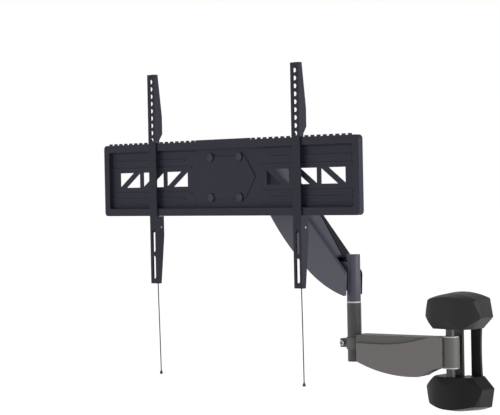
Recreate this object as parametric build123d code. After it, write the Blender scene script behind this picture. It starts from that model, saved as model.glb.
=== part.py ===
"""Full motion wall mount: wall bracket, swivel arm, lift arm, tilting head, plate and two rails.

Row frame in millimetres: the origin is the centre of the wall plate's back face, +Z is up,
+Y points into the wall and the room is on the -Y side. The arms point towards -X at rest.
"""

from build123d import *
from math import cos, radians, sin
import os

os.makedirs("parts", exist_ok=True)

# ---------------------------------------------------------------- clearances
RUN_FIT = 0.05         # radial, shaft in bush
HOLE_PLAY = 0.25       # radial, screw or pin in a plain hole
SIDE_PLAY = 0.5        # between a moving piece and the cheeks beside it
COVER_PLAY = 0.6       # between a cover and what it goes over

# ---------------------------------------------------------------- wall bracket
PLATE_T = 5.0          # wall plate thickness
PLATE_HALF_H = 98.0
LEG_IN = 16.5          # legs of the wall plate, measured from its centre line
LEG_OUT = 40.0
LEG_WAIST = 38.0       # outer edge of a leg at half height
PAD_HALF_W = 58.0
WINDOW_HALF_H = 54.0
WALL_HOLE_R = 4.5
WALL_HOLES_X = 70.0    # spacing of the lag screw holes
WALL_HOLES_Z = 164.0
SHAFT_Y = -47.0        # axis of the wall shaft
SHAFT_R = 7.0
LUG_T = 6.0            # lugs that hold the wall shaft
LUG_Z = 59.0           # inner face of each lug
LUG_R = SHAFT_R + 4.0
BAR_HALF_W = 8.8       # upright bar behind the knuckle
BAR_FRONT = -22.0
BAR_T = 6.0
FOOT_HALF_W = 14.0
BRACKET_SCREW_R = 3.0
SPACER_WALL = 1.6      # sleeves on the shaft above and below the knuckle
SPACER_R = SHAFT_R + SPACER_WALL

COVER_WALL = 2.5
COVER_IN_Z = 45.0      # edge of a cover next to the arm
COVER_MID_Z = 67.0     # widest point of a cover
COVER_MID_HALF = 65.5
COVER_TOP_Z = 113.0    # top of the arched edge at the wall
COVER_DEPTH = LUG_R - SHAFT_Y + COVER_WALL + 1.0   # at the middle of its crowned front
COVER_SIDE_DEPTH = 38.0
COVER_BEVEL_H = 14.0
COVER_BEVEL_D = 4.0
# outlines of a cover at the wall, at the side edge and at the front face:
# half width at the inner edge, at the widest point and at the outer corner,
# height of the outer corner, height of the arched edge
COVER_AT_WALL = (43.0, COVER_MID_HALF, 59.0, 102.0, COVER_TOP_Z)
COVER_AT_EDGE = (43.0, COVER_MID_HALF, 56.5, 99.5, 110.5)
COVER_AT_FRONT = (31.0, 61.0, 47.0, 95.0, 106.0)

# ---------------------------------------------------------------- lower arm
ARM_TOP = 29.5
ARM_ANGLE = 9.0        # outward from the wall at rest
ARM_LEN = 210.0        # wall shaft to elbow
BEAM_HALF = 19.0
BEAM_WALL = 3.0
SKIN_T = 2.6           # side covers of the lower arm
KNUCKLE_R = 17.0
KNUCKLE_LOW = -27.0
BUSH_WALL = 1.6
BUSH_LEN = 18.0
BUSH_FLANGE = 2.0
CABLE_T = 2.6          # cable cover under the arm

# ---------------------------------------------------------------- post and clamp
POST_R = 14.0
POST_WALL = 3.0
POST_LOW = -22.0
POST_TOP = 90.0
RING_T = 3.0           # nylon ring between post and yoke
CLAMP_R = POST_R + 2.2
CLAMP_H = 23.0
CLAMP_SLIT = 3.0
EAR_LEN = 13.0
EAR_T = 4.5
CLAMP_SCREW_R = 3.0
SPINDLE_R = 6.0
BEAM_END = ARM_LEN - POST_R
SKIN_END = BEAM_END - 2.0

# ---------------------------------------------------------------- lift arm
LIFT_REST = 48.5       # angle of the lift arm above level
LIFT_LEN = 262.0
YOKE_LOW = POST_TOP + RING_T
YOKE_TOP = 184.0
YOKE_R = POST_R - 0.5
PIN_REACH = 20.585     # from the elbow's axis to the yoke's pins
PIN_Z = 161.0
PIN_GAP = 38.0         # between upper and lower pins
PIN_R = 4.0
LUG_HALF = 15.0        # half width of the yoke's tongue and of the head's
TONGUE_R = 9.0
LINK_IN = 19.5         # inner face of the upper link's sides
LINK_WALL = 2.5
LINK_TOP = 10.5
LINK_LOW = -8.0
LOW_BAR_T = 3.0        # side bars of the lower link
LOW_BAR_HALF = 6.5
SHELL_HALF = 25.0
SHELL_WALL = 2.4
SHELL_TOP = 13.0
SHELL_ROUND = 9.0
STRIP_T = 4.0          # cable cover under the lift arm
SEAM = 2.4             # open seam along the top of the shells

# gas spring: its rod eye rides on a pin in the yoke
ANCHOR_DROP = 20.0
ANCHOR_R = 3.8
EYE_R = 10.4
EYE_HOLE_R = 8.0
EYE_HALF = 5.0
SPRING_LINE = -16.4    # height of the eye under the upper pins
SPRING_END_U = LIFT_LEN - 40.0
SPRING_END_V = -9.0
CYL_R = 9.5
CYL_START = 46.0
ROD_R = 4.0

# ---------------------------------------------------------------- head
HEAD_REACH = 30.39     # from the lift arm's far pins to the head swivel's axis
HEAD_DROP = PIN_GAP / 2 - 0.77   # from the upper far pin down to the plate's centre
BARREL_R = 13.0
BARREL_HALF = PIN_GAP / 2 + TONGUE_R + 1.0
HEAD_PIN_R = 5.0
HEAD_LUG_T = 6.0
NECK_HALF = 10.0
TILT_Y = -160.0
TILT_R = 5.0
TILT_EAR_T = 5.0
TILT_EAR_X = 16.0
ADAPTER_HALF = 60.0
ADAPTER_T = 4.0
ADAPTER_BOLTS = 80.0
M8_R = 4.0

# ---------------------------------------------------------------- plate
LIP_Y = -209.4         # front plane of the plate's lip
TV_HALF_W = 353.0
TV_LOW = -76.0         # from the plate's centre
TV_TOP = 73.0
SHEET = 2.5
LIP = 15.0
RECESS = 8.5
RETURN = 12.0          # depth of the flange at each end
CORNER_R = 8.0
TOOTH_PITCH = 15.5
TOOTH_W = 8.0
TOOTH_H = 3.0
TOOTH_FROM = 84.0      # where each row of teeth starts, from the centre
TOOTH_TO = 336.0
WIN_LOW = -16.5
WIN_TOP = 14.0
WIN_W = 61.5
WIN_FROM = (108.5, 180.0, 251.5)
WIN_BAR = 19.0         # width of a window's diagonal bar, along the plate
RIB_Z = (53.0, 37.0, 22.0, -29.0, -41.0, -54.0)
RIB_FROM = (88.0, 117.0, 96.0, 96.0, 117.0, 88.0)
RIB_TO = 328.0
RIB_H = 1.4
RIB_W = 3.4
HEX_HALF_W = 82.0
HEX_HALF_H = 42.0
HEX_H = 1.5

# ---------------------------------------------------------------- rails
RAIL_X = 200.0
RAIL_HALF_H = 215.0
RAIL_HALF_W = 10.5
RAIL_FRONT = -3.5      # from the lip plane
RAIL_T = 2.0
RAIL_END_D = 10.0
RAIL_MID_D = 20.0
RAIL_RIM_D = 8.0       # depth of the shallow flange
RAIL_HOLE_R = 4.5
RAIL_HOLE_TOP = 200.0
RAIL_PITCH = 15.0
RAIL_HOLES = 9
SLOT_W = 8.5
SLOTS = ((-150.0, -103.0), (-205.0, -158.0))
HOOK_DROP = 9.0
LATCH_HALF_W = 7.0
LATCH_TOP = -82.0
LATCH_LOW = -104.0
LATCH_TRAVEL = 12.0
GUIDE_R = 2.0
CORD_R = 1.1
CORD_Y = 5.0
CORD_END = -395.0
KNOB_R = 3.2
KNOB_H = 7.0

# ---------------------------------------------------------------- worked out
ELBOW = (-ARM_LEN * cos(radians(ARM_ANGLE)), SHAFT_Y - ARM_LEN * sin(radians(ARM_ANGLE)))
L_DIR = (cos(radians(LIFT_REST)), sin(radians(LIFT_REST)))
PIN_X = ELBOW[0] - PIN_REACH
PIVOT = (PIN_X, ELBOW[1], PIN_Z)
LOW_PIVOT = (PIN_X, ELBOW[1], PIN_Z - PIN_GAP)
HEAD_PIVOT = (PIN_X - LIFT_LEN * L_DIR[0], ELBOW[1], PIN_Z + LIFT_LEN * L_DIR[1])
HEAD_LOW_PIVOT = (HEAD_PIVOT[0], ELBOW[1], HEAD_PIVOT[2] - PIN_GAP)
ON_LIFT = Location(PIVOT, (0, LIFT_REST, 0))
ON_LOW_LINK = Location(LOW_PIVOT, (0, LIFT_REST, 0))
ON_ARM = Location((0, SHAFT_Y, 0), (0, 0, ARM_ANGLE))
HEAD_X = HEAD_PIVOT[0] - HEAD_REACH
PLATE_Z = HEAD_PIVOT[2] - HEAD_DROP
AT_PLATE = Location((HEAD_X, LIP_Y, PLATE_Z))


# ---------------------------------------------------------------- helpers
def block(x, y, z):
    """A box from three (low, high) pairs."""
    size = [b - a for a, b in (x, y, z)]
    middle = [(a + b) / 2 for a, b in (x, y, z)]
    return Pos(*middle) * Box(*size)


def rod(radius, start, end):
    """A cylinder between two points that differ along one axis."""
    d = Vector(*end) - Vector(*start)
    frame = Plane(origin=start, z_dir=d.normalized())
    return extrude(frame * Circle(radius), d.length)


def upright(profile, y_low, y_high):
    """Extrude an (x, z) profile from y_low to y_high."""
    face = Plane(origin=(0, y_low, 0), x_dir=(1, 0, 0), z_dir=(0, -1, 0)) * profile
    return extrude(face, y_low - y_high)


def outline(*edges):
    """A face bounded by edges that meet end to end."""
    return make_face(Curve() + list(edges))


def mirrored(shape):
    """The copy of a shape on the other side of the plane z = 0."""
    return mirror(shape, Plane.XY)


# ---------------------------------------------------------------- wall bracket
def wall_plate():
    h = PLATE_HALF_H
    foot = COVER_IN_Z + COVER_WALL + 1
    right = [
        ThreePointArc((LEG_OUT, -foot), (LEG_WAIST, 0), (LEG_OUT, foot)),
        Polyline((LEG_OUT, foot), (PAD_HALF_W, COVER_MID_Z), (PAD_HALF_W - 6, h)),
        Line((PAD_HALF_W - 6, h), (-PAD_HALF_W + 6, h)),
    ]
    left = [
        Polyline((-PAD_HALF_W + 6, h), (-PAD_HALF_W, COVER_MID_Z), (-LEG_OUT, foot)),
        ThreePointArc((-LEG_OUT, foot), (-LEG_WAIST, 0), (-LEG_OUT, -foot)),
        Polyline((-LEG_OUT, -foot), (-PAD_HALF_W, -COVER_MID_Z), (-PAD_HALF_W + 6, -h)),
    ]
    low = [
        Line((-PAD_HALF_W + 6, -h), (PAD_HALF_W - 6, -h)),
        Polyline((PAD_HALF_W - 6, -h), (PAD_HALF_W, -COVER_MID_Z), (LEG_OUT, -foot)),
    ]
    plate = upright(outline(*right, *left, *low), -PLATE_T, 0)
    window = RectangleRounded(2 * LEG_IN, 2 * WINDOW_HALF_H, 6)
    plate -= upright(window, -PLATE_T, 0)
    for x in (-WALL_HOLES_X / 2, WALL_HOLES_X / 2):
        for z in (-WALL_HOLES_Z / 2, WALL_HOLES_Z / 2):
            plate -= rod(WALL_HOLE_R, (x, -PLATE_T, z), (x, 0, z))
    for x, z in bracket_screw_places():
        plate -= rod(BRACKET_SCREW_R, (x, -PLATE_T, z), (x, 0, z))
    return plate


def bracket_screw_places():
    return [(x, s * z) for s in (-1, 1) for x, z in ((-8.0, 76.0), (8.0, 90.0))]


def pivot_bracket():
    """Upright bar with two feet on the wall plate and two lugs for the shaft."""
    bar = block((-BAR_HALF_W, BAR_HALF_W), (BAR_FRONT, BAR_FRONT + BAR_T), (-94, 94))
    for s in (-1, 1):
        foot_z = sorted((s * (LUG_Z + LUG_T), s * 96))
        bar += block((-FOOT_HALF_W, FOOT_HALF_W), (BAR_FRONT, -PLATE_T), foot_z)
        lug_z = sorted((s * LUG_Z, s * (LUG_Z + LUG_T)))
        bar += block((-LUG_R, LUG_R), (SHAFT_Y, BAR_FRONT + BAR_T), lug_z)
        bar += rod(LUG_R, (0, SHAFT_Y, lug_z[0]), (0, SHAFT_Y, lug_z[1]))
    reach = LUG_Z + LUG_T
    bar -= rod(SHAFT_R + RUN_FIT, (0, SHAFT_Y, -reach), (0, SHAFT_Y, reach))
    for x, z in bracket_screw_places():
        bar -= rod(BRACKET_SCREW_R + HOLE_PLAY, (x, BAR_FRONT, z), (x, -PLATE_T, z))
    return bar


def bracket_screws():
    screws = []
    for x, z in bracket_screw_places():
        shank = rod(BRACKET_SCREW_R, (x, BAR_FRONT, z), (x, 0, z))
        head = rod(5.5, (x, BAR_FRONT - 3.5, z), (x, BAR_FRONT, z))
        hexagon = upright(Pos(x, z) * RegularPolygon(2.5, 6), BAR_FRONT - 3.5, BAR_FRONT - 1.5)
        screws.append(shank + head - hexagon)
    return Compound(screws)


def wall_shaft():
    end = LUG_Z + LUG_T
    shaft = rod(SHAFT_R, (0, SHAFT_Y, -end - 12), (0, SHAFT_Y, end))
    head = rod(10.0, (0, SHAFT_Y, end), (0, SHAFT_Y, end + 5))
    return shaft + head


def shaft_nut():
    end = LUG_Z + LUG_T
    hexagon = Plane.XY.offset(-end - 9) * (Pos(0, SHAFT_Y) * RegularPolygon(10.9, 6))
    nut = extrude(hexagon, 9)
    return nut - rod(SHAFT_R + RUN_FIT, (0, SHAFT_Y, -end - 9), (0, SHAFT_Y, -end))


def cover_outline(half_widths, inset):
    """One outline of the upper cover, drawn in a little when inset is the wall."""
    inner, middle, outer, corner_z, top_z = half_widths
    low = COVER_IN_Z + inset
    inner, middle, outer = inner - inset, middle - inset, outer - inset
    corner_z, top_z = corner_z - inset, top_z - inset
    right = Polyline((-inner, low), (inner, low), (middle, COVER_MID_Z), (outer, corner_z))
    arch = ThreePointArc((outer, corner_z), (0, top_z), (-outer, corner_z))
    left = Polyline((-outer, corner_z), (-middle, COVER_MID_Z), (-inner, low))
    return outline(right, arch, left)


def cover_body(inset):
    """The upper cover's outer form, or the space inside it when inset is the wall."""
    edge, front = COVER_SIDE_DEPTH - inset, COVER_DEPTH - inset
    sections = []
    for depth, shape in ((0, COVER_AT_WALL), (edge, COVER_AT_EDGE), (front, COVER_AT_FRONT)):
        plane = Plane(origin=(0, -depth, 0), x_dir=(1, 0, 0), z_dir=(0, -1, 0))
        sections.append(plane * cover_outline(shape, inset))
    body = loft(sections[:2], ruled=True) + loft(sections[1:], ruled=True)
    rise, half = COVER_DEPTH - COVER_SIDE_DEPTH, COVER_MID_HALF
    crown = (rise**2 + half**2) / (2 * rise) - inset
    axis_y = crown - front
    body &= rod(crown, (0, axis_y, 0), (0, axis_y, COVER_TOP_Z + 1))
    low = COVER_IN_Z + inset
    bevel = Plane.YZ.offset(-COVER_MID_HALF - 1) * make_face(
        Polyline(
            (-front, low),
            (-front + COVER_BEVEL_D, low),
            (-front, low + COVER_BEVEL_H),
            close=True,
        )
    )
    return body - extrude(bevel, 2 * COVER_MID_HALF + 2)


def upper_cover():
    shell = cover_body(0) - cover_body(COVER_WALL)
    half = max(SPACER_R, BAR_HALF_W) + COVER_PLAY
    slot = block((-half, half), (SHAFT_Y, 0), (COVER_IN_Z, COVER_IN_Z + COVER_WALL))
    slot += rod(half, (0, SHAFT_Y, COVER_IN_Z), (0, SHAFT_Y, COVER_IN_Z + COVER_BEVEL_H))
    legs = block(
        (-LEG_OUT - COVER_PLAY, LEG_OUT + COVER_PLAY),
        (-PLATE_T - COVER_PLAY, 0),
        (COVER_IN_Z, COVER_IN_Z + COVER_WALL),
    )
    return shell - slot - legs


# ---------------------------------------------------------------- lower arm
def arm_profile(drop, end):
    """Side view of the lower arm: level top, hollow under the knuckle, bowed belly."""
    heel = (-58, -46 + drop)
    return outline(
        Polyline((-8, KNUCKLE_LOW), (-8, ARM_TOP), (-end, ARM_TOP), (-end, -22 + drop)),
        ThreePointArc((-end, -22 + drop), (-130, -42 + drop), heel),
        ThreePointArc(heel, (-34, -34 + drop / 2), (-8, KNUCKLE_LOW)),
    )


def lens(end):
    """The part of a side cover's outline above its curved top edge."""
    return outline(
        Polyline((-36, ARM_TOP), (-36, ARM_TOP + 5), (-end - 5, ARM_TOP + 5)),
        Line((-end - 5, ARM_TOP + 5), (-end - 5, 14)),
        Line((-end - 5, 14), (-150, 13)),
        ThreePointArc((-150, 13), (-90, 17), (-36, ARM_TOP)),
    )


def lower_arm_beam():
    """Channel open below, with the knuckle at the wall shaft and the clamp ring at the post."""
    beam = upright(arm_profile(CABLE_T + COVER_PLAY, BEAM_END), -BEAM_HALF, BEAM_HALF)
    inner = BEAM_HALF - BEAM_WALL
    hollow = block((-BEAM_END + BEAM_WALL, -26), (-inner, inner), (-60, ARM_TOP - BEAM_WALL))
    beam -= hollow
    knuckle = rod(KNUCKLE_R, (0, 0, KNUCKLE_LOW), (0, 0, ARM_TOP))
    ring = rod(CLAMP_R, (-ARM_LEN, 0, 0), (-ARM_LEN, 0, CLAMP_H))
    neck = block((-ARM_LEN + 6, -BEAM_END + 2), (-11, 11), (0, CLAMP_H))
    ears = block(
        (-ARM_LEN - CLAMP_R - EAR_LEN, -ARM_LEN - CLAMP_R + 4),
        (-CLAMP_SLIT / 2 - EAR_T, CLAMP_SLIT / 2 + EAR_T),
        (3, CLAMP_H - 3),
    )
    beam += knuckle + ring + neck + ears
    beam -= rod(SHAFT_R + BUSH_WALL, (0, 0, KNUCKLE_LOW), (0, 0, ARM_TOP))
    beam -= rod(KNUCKLE_R + COVER_PLAY, (0, 0, KNUCKLE_LOW - 20), (0, 0, KNUCKLE_LOW))
    beam -= rod(POST_R + RUN_FIT, (-ARM_LEN, 0, -1), (-ARM_LEN, 0, CLAMP_H + 1))
    slit_x = (-ARM_LEN - CLAMP_R - EAR_LEN - 1, -ARM_LEN)
    beam -= block(slit_x, (-CLAMP_SLIT / 2, CLAMP_SLIT / 2), (-1, CLAMP_H + 1))
    beam -= rod(CLAMP_SCREW_R + HOLE_PLAY, (ear_x(), -8, ear_z()), (ear_x(), 8, ear_z()))
    return beam


def ear_x():
    return -ARM_LEN - CLAMP_R - EAR_LEN / 2


def ear_z():
    return CLAMP_H / 2


def lower_arm_skin(side):
    """Side cover of the lower arm; side is -1 for the room side and 1 for the wall side."""
    faces = sorted((side * (BEAM_HALF + 0.2), side * (BEAM_HALF + 0.2 + SKIN_T)))
    skin = upright(arm_profile(0, SKIN_END), *faces)
    return skin - upright(lens(SKIN_END), faces[0] - 1, faces[1] + 1)


def lower_arm_cable_cover():
    band = upright(arm_profile(0, BEAM_END), -BEAM_HALF, BEAM_HALF)
    band -= upright(arm_profile(CABLE_T, BEAM_END), -BEAM_HALF, BEAM_HALF)
    keep = block((-BEAM_END, -40), (-BEAM_HALF, BEAM_HALF), (-60, -20))
    return band & keep


def knuckle_bushes():
    """Two flanged nylon bushes, one in each end of the knuckle."""
    bushes = []
    outer = SHAFT_R + BUSH_WALL - 0.02
    for z, s in ((ARM_TOP, -1), (KNUCKLE_LOW, 1)):
        sleeve = rod(outer, (0, 0, z), (0, 0, z + s * BUSH_LEN))
        flange = rod(KNUCKLE_R - 1.5, (0, 0, z), (0, 0, z - s * BUSH_FLANGE))
        bore = rod(SHAFT_R + RUN_FIT, (0, 0, -40), (0, 0, 40))
        bushes.append(sleeve + flange - bore)
    return Compound(bushes)


def shaft_spacers():
    """Steel sleeves on the shaft between the knuckle and the two lugs."""
    tubes = []
    for z, s in ((ARM_TOP + BUSH_FLANGE, 1), (KNUCKLE_LOW - BUSH_FLANGE, -1)):
        low, high = sorted((z + s * 0.3, s * (LUG_Z - 0.3)))
        tube = rod(SPACER_R, (0, SHAFT_Y, low), (0, SHAFT_Y, high))
        tubes.append(tube - rod(SHAFT_R + RUN_FIT, (0, SHAFT_Y, low), (0, SHAFT_Y, high)))
    return Compound(tubes)


def clamp_screw():
    y = CLAMP_SLIT / 2 + EAR_T
    shank = rod(CLAMP_SCREW_R, (ear_x(), -y, ear_z()), (ear_x(), y + 7, ear_z()))
    head = rod(5.0, (ear_x(), -y - 6, ear_z()), (ear_x(), -y, ear_z()))
    socket = Pos(ear_x(), ear_z()) * RegularPolygon(2.8, 6)
    return shank + head - upright(socket, -y - 6, -y - 3)


def clamp_nut():
    y = CLAMP_SLIT / 2 + EAR_T
    nut = upright(Pos(ear_x(), ear_z()) * RegularPolygon(5.8, 6), y, y + 5.5)
    bore = rod(CLAMP_SCREW_R + RUN_FIT, (ear_x(), y, ear_z()), (ear_x(), y + 5.5, ear_z()))
    return nut - bore


# ---------------------------------------------------------------- post
def elbow_post():
    """Tube in the clamp, closed at the top by the spindle that the yoke turns on."""
    x, y = ELBOW
    tube = rod(POST_R, (x, y, POST_LOW), (x, y, POST_TOP))
    tube -= rod(POST_R - POST_WALL, (x, y, POST_LOW), (x, y, POST_TOP - 12))
    spindle = rod(SPINDLE_R, (x, y, POST_TOP), (x, y, YOKE_TOP - 8))
    return tube + spindle


def post_cap():
    x, y = ELBOW
    plug = rod(POST_R - POST_WALL - 0.1, (x, y, POST_LOW), (x, y, POST_LOW + 10))
    return plug + rod(POST_R, (x, y, POST_LOW - 2), (x, y, POST_LOW))


def post_ring():
    x, y = ELBOW
    ring = rod(POST_R, (x, y, POST_TOP), (x, y, YOKE_LOW - 0.2))
    return ring - rod(SPINDLE_R + RUN_FIT, (x, y, POST_TOP), (x, y, YOKE_LOW))


# ---------------------------------------------------------------- yoke
def elbow_yoke():
    """Barrel on the spindle with a forked tongue for the pins and the gas spring's eye."""
    x, y = ELBOW
    body = rod(YOKE_R, (x, y, YOKE_LOW), (x, y, YOKE_TOP))
    low_z, top_z = LOW_PIVOT[2], PIVOT[2]
    body += block((PIN_X, x), (y - LUG_HALF, y + LUG_HALF), (low_z - TONGUE_R, top_z + TONGUE_R))
    for z in (low_z, top_z):
        body += rod(TONGUE_R, (PIN_X, y - LUG_HALF, z), (PIN_X, y + LUG_HALF, z))
    half = EYE_HALF + SIDE_PLAY
    slot_x = (PIN_X - TONGUE_R - 1, x - SPINDLE_R - BUSH_WALL - 0.8)
    body -= block(slot_x, (y - half, y + half), (low_z - TONGUE_R - 1, top_z - PIN_R - 0.5))
    front = (PIN_X - TONGUE_R - 1, PIN_X)
    body -= block(front, (y - half, y + half), (low_z - TONGUE_R - 1, top_z + TONGUE_R + 1))
    for z in (low_z, top_z):
        body -= rod(PIN_R + RUN_FIT, (PIN_X, y - LUG_HALF, z), (PIN_X, y + LUG_HALF, z))
    anchor_z = top_z - ANCHOR_DROP
    body -= rod(ANCHOR_R, (PIN_X, y - LUG_HALF, anchor_z), (PIN_X, y + LUG_HALF, anchor_z))
    body -= rod(SPINDLE_R + BUSH_WALL, (x, y, YOKE_LOW), (x, y, YOKE_TOP - 5))
    return body


def yoke_bush():
    x, y = ELBOW
    top = YOKE_TOP - 6
    bush = rod(SPINDLE_R + BUSH_WALL - 0.02, (x, y, YOKE_LOW), (x, y, top))
    return bush - rod(SPINDLE_R + RUN_FIT, (x, y, YOKE_LOW), (x, y, top))


def anchor_pin():
    y, z = ELBOW[1], PIVOT[2] - ANCHOR_DROP
    return rod(ANCHOR_R - 0.02, (PIN_X, y - LUG_HALF, z), (PIN_X, y + LUG_HALF, z))


def pivot_pins(upper, lower):
    """Upper pin through the link's sides, lower pin through the lower link's bars."""
    y = ELBOW[1]
    long, short = LINK_IN + LINK_WALL, LINK_IN - SIDE_PLAY
    pins = []
    for place, reach in ((upper, long), (lower, short)):
        x, z = place[0], place[2]
        pins.append(rod(PIN_R, (x, y - reach, z), (x, y + reach, z)))
    return Compound(pins)


# ---------------------------------------------------------------- lift arm
def upper_link():
    """Inverted channel from yoke to head; it carries the gas spring's fixed end."""
    top, low = LINK_TOP, LINK_LOW
    outer = LINK_IN + LINK_WALL
    body = block((-LIFT_LEN + 16, -16), (-outer, outer), (top - LINK_WALL, top))
    for s in (-1, 1):
        faces = sorted((s * LINK_IN, s * outer))
        body += block((-LIFT_LEN, 0), faces, (low, top - LINK_WALL))
        for u in (0, -LIFT_LEN):
            body += rod(-low, (u, faces[0], 0), (u, faces[1], 0))
        tab = block((-SPRING_END_U - 9, -SPRING_END_U + 9), faces, (SPRING_END_V - 6, low))
        body += block((-LIFT_LEN + 16, -16), faces, (low, top)) + tab
    body &= rounded_bar(outer, top, SHELL_ROUND - SHELL_WALL)
    for u, z, r in ((0, 0, PIN_R), (-LIFT_LEN, 0, PIN_R), (-SPRING_END_U, SPRING_END_V, ANCHOR_R)):
        body -= rod(r + RUN_FIT, (u, -outer, z), (u, outer, z))
    return ON_LIFT * body


def lower_link():
    """Two side bars joined by a web below the gas spring."""
    inner = LUG_HALF + SIDE_PLAY
    body = block((-LIFT_LEN + 62, -62), (-inner, inner), (-LOW_BAR_HALF, -LOW_BAR_HALF + 2))
    for s in (-1, 1):
        faces = sorted((s * inner, s * (inner + LOW_BAR_T)))
        body += block((-LIFT_LEN, 0), faces, (-LOW_BAR_HALF, LOW_BAR_HALF))
        for u in (0, -LIFT_LEN):
            body += rod(LOW_BAR_HALF, (u, faces[0], 0), (u, faces[1], 0))
    for u in (0, -LIFT_LEN):
        body -= rod(PIN_R + RUN_FIT, (u, -20, 0), (u, 20, 0))
    return ON_LOW_LINK * body


def spring_axis(u):
    """A point on the gas spring's axis, at distance u from the upper pin."""
    slope = (SPRING_END_V - SPRING_LINE) / SPRING_END_U
    return (-u, 0, SPRING_LINE + slope * u)


def spring_pin():
    y = LINK_IN + LINK_WALL
    u, v = -SPRING_END_U, SPRING_END_V
    return ON_LIFT * rod(ANCHOR_R, (u, -y, v), (u, y, v))


def gas_cylinder():
    body = rod(CYL_R, spring_axis(CYL_START), spring_axis(SPRING_END_U - 12))
    neck = rod(4.5, spring_axis(SPRING_END_U - 12), spring_axis(SPRING_END_U - 5))
    u, v = -SPRING_END_U, SPRING_END_V
    eye = rod(8.0, (u, -6, v), (u, 6, v))
    bore = rod(ROD_R + RUN_FIT, spring_axis(CYL_START), spring_axis(SPRING_END_U - 30))
    body = body + neck + eye - bore
    return ON_LIFT * (body - rod(ANCHOR_R + RUN_FIT, (u, -6, v), (u, 6, v)))


def eye_distance():
    """Distance of the rod's eye along the link at rest, measured past the upper pin."""
    return -ANCHOR_DROP * L_DIR[1]


def gas_rod():
    """Piston rod with an oversize eye that stays round the anchor pin at every angle."""
    u = eye_distance()
    x, _, z = spring_axis(u)
    eye = rod(EYE_R, (x, -EYE_HALF, z), (x, EYE_HALF, z))
    shank = rod(ROD_R, spring_axis(u + EYE_HOLE_R + 1), spring_axis(CYL_START + 60))
    hole = rod(EYE_HOLE_R, (x, -EYE_HALF, z), (x, EYE_HALF, z))
    return ON_LIFT * (eye + shank - hole)


def rounded_bar(half, top, radius):
    """A tall bar along the lift arm whose upper edges are rounded."""
    section = Pos(0, top - 60) * RectangleRounded(2 * half, 120, radius)
    return extrude(Plane.YZ.offset(-LIFT_LEN - 60) * section, LIFT_LEN + 160)


def shell_profile(inset, belly_up):
    """Side view of the lift arm's shells; both ends stand upright when the arm rests."""
    top = SHELL_TOP - inset
    head_top = (-LIFT_LEN - 6 + inset, top)
    head_low = (-LIFT_LEN + 60 + inset, -66 + belly_up + inset)
    mid = (-75, -67 + belly_up + inset)
    tail = (58 - inset - belly_up / 2, -24 + belly_up / 2 + inset / 2)
    nose = (20 - inset, top)
    return outline(
        Polyline(nose, head_top, head_low),
        ThreePointArc(head_low, (-140, -70.5 + belly_up + inset), mid),
        ThreePointArc(mid, (-5, -55 + belly_up + inset), tail),
        Line(tail, nose),
    )


def shell_form(inset, belly_up):
    """The lift arm's rounded box form."""
    half = SHELL_HALF - inset
    form = upright(shell_profile(inset, belly_up), -half, half)
    return form & rounded_bar(half, SHELL_TOP - inset, SHELL_ROUND - inset)


def seam_cut(side):
    """Plan area that one shell keeps: the seam wanders from the middle to the wall side."""
    s = side * SEAM / 2
    edge = 40 * side
    plan = Plane.XY.offset(-100) * make_face(
        Polyline(
            (80, -8 + s),
            (-10, -8 + s),
            (-110, 9 + s),
            (-LIFT_LEN - 60, 9 + s),
            (-LIFT_LEN - 60, edge),
            (80, edge),
            close=True,
        )
    )
    return extrude(plan, 200)


def lift_shell(side):
    """One of the two shells clipped over the links, open where yoke and head go in."""
    shell = shell_form(0, STRIP_T + 0.4) - shell_form(SHELL_WALL, STRIP_T + 0.4)
    inner = SHELL_HALF - SHELL_WALL - 0.01
    yoke_gap = block((-18, 90), (-inner, inner), (-100, 40))
    belly_gap = block((-66, 90), (-LINK_IN, LINK_IN), (-100, LINK_LOW))
    head_gap = block((-LIFT_LEN - 60, -LIFT_LEN + 14), (-inner, inner), (-100, 40))
    head_belly = block((-LIFT_LEN - 60, -LIFT_LEN + 80), (-LINK_IN, LINK_IN), (-100, LINK_LOW))
    shell = shell - yoke_gap - belly_gap - head_gap - head_belly
    return ON_LIFT * (shell & seam_cut(side))


def lift_cable_cover():
    """Curved strip clipped under the lift arm, with a slot where it passes the post."""
    half = SHELL_HALF - 3.0
    strip = upright(shell_profile(0, 0), -half, half)
    strip -= upright(shell_profile(0, STRIP_T), -half - 1, half + 1)
    strip &= block((-LIFT_LEN + 62, 52), (-half, half), (-90, -22))
    strip -= block((-66, 90), (-LINK_IN, LINK_IN), (-100, 0))
    return ON_LIFT * strip


# ---------------------------------------------------------------- head
def head_yoke():
    """Tongue on the lift arm's far pins with the upright barrel of the head swivel."""
    y = ELBOW[1]
    low_z, top_z = HEAD_LOW_PIVOT[2], HEAD_PIVOT[2]
    x = HEAD_PIVOT[0]
    low, high = head_barrel_z()
    body = rod(BARREL_R, (HEAD_X, y, low), (HEAD_X, y, high))
    body += block((HEAD_X, x), (y - 11, y + 11), (low_z - TONGUE_R, top_z + TONGUE_R))
    body += block((x - 8, x), (y - LUG_HALF, y + LUG_HALF), (low_z - TONGUE_R, top_z + TONGUE_R))
    for z in (low_z, top_z):
        body += rod(TONGUE_R, (x, y - LUG_HALF, z), (x, y + LUG_HALF, z))
        body -= rod(PIN_R + RUN_FIT, (x, y - LUG_HALF, z), (x, y + LUG_HALF, z))
    return body - rod(HEAD_PIN_R + BUSH_WALL, (HEAD_X, y, low), (HEAD_X, y, high))


def head_barrel_z():
    return PLATE_Z - BARREL_HALF, PLATE_Z + BARREL_HALF


def head_bush():
    y = ELBOW[1]
    low, high = head_barrel_z()
    bush = rod(HEAD_PIN_R + BUSH_WALL - 0.02, (HEAD_X, y, low), (HEAD_X, y, high))
    return bush - rod(HEAD_PIN_R + RUN_FIT, (HEAD_X, y, low), (HEAD_X, y, high))


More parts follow.
